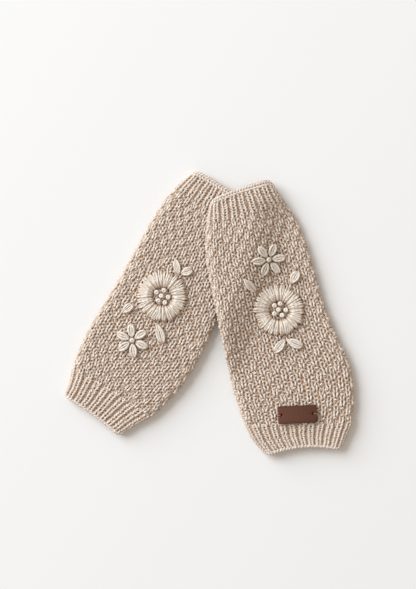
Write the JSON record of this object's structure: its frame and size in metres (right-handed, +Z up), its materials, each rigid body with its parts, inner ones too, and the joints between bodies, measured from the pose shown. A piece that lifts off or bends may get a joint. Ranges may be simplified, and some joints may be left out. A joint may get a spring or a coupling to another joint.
{
  "type": "pair of fingerless mittens",
  "caption": "Pair of knitted fingerless mittens with ribbed cuffs, stitched flowers and a leather label, laid flat with one over the other.",
  "frame": {"origin": "middle of the pair's footprint, on the surface that it lies on", "axes": "+Z up, +Y towards the finger edges, +X towards the right mitten"},
  "size_m": [0.229, 0.2262, 0.0199],
  "materials": {
    "oatmeal_wool": "hand-knitted heathered wool",
    "cream_yarn": "satin-stitched wool yarn",
    "brown_leather": "smooth dyed leather"
  },
  "bodies": {
    "root": {"left_body": "oatmeal_wool", "left_wrist_cuff": "oatmeal_wool", "left_finger_cuff": "oatmeal_wool", "left_flower_ring": "cream_yarn", "left_flower_knot_1": "cream_yarn", "left_flower_knot_2": "cream_yarn", "left_flower_knot_3": "cream_yarn", "left_flower_knot_4": "cream_yarn", "left_flower_knot_5": "cream_yarn", "left_flower_knot_6": "cream_yarn", "left_petal_1": "cream_yarn", "left_petal_2": "cream_yarn", "left_petal_3": "cream_yarn", "left_petal_4": "cream_yarn", "left_petal_5": "cream_yarn", "left_petal_6": "cream_yarn", "left_petal_knot": "cream_yarn", "left_leaf_1": "cream_yarn", "left_leaf_2": "cream_yarn", "left_leaf_3": "cream_yarn", "left_leaf_4": "cream_yarn", "right_body": "oatmeal_wool", "right_wrist_cuff": "oatmeal_wool", "right_finger_cuff": "oatmeal_wool", "right_flower_ring": "cream_yarn", "right_flower_knot_1": "cream_yarn", "right_flower_knot_2": "cream_yarn", "right_flower_knot_3": "cream_yarn", "right_flower_knot_4": "cream_yarn", "right_flower_knot_5": "cream_yarn", "right_flower_knot_6": "cream_yarn", "right_petal_1": "cream_yarn", "right_petal_2": "cream_yarn", "right_petal_3": "cream_yarn", "right_petal_4": "cream_yarn", "right_petal_5": "cream_yarn", "right_petal_6": "cream_yarn", "right_petal_knot": "cream_yarn", "right_leaf_1": "cream_yarn", "right_leaf_2": "cream_yarn", "right_leaf_3": "cream_yarn", "right_leaf_4": "cream_yarn", "right_label": "brown_leather"}
  },
  "joints": []
}
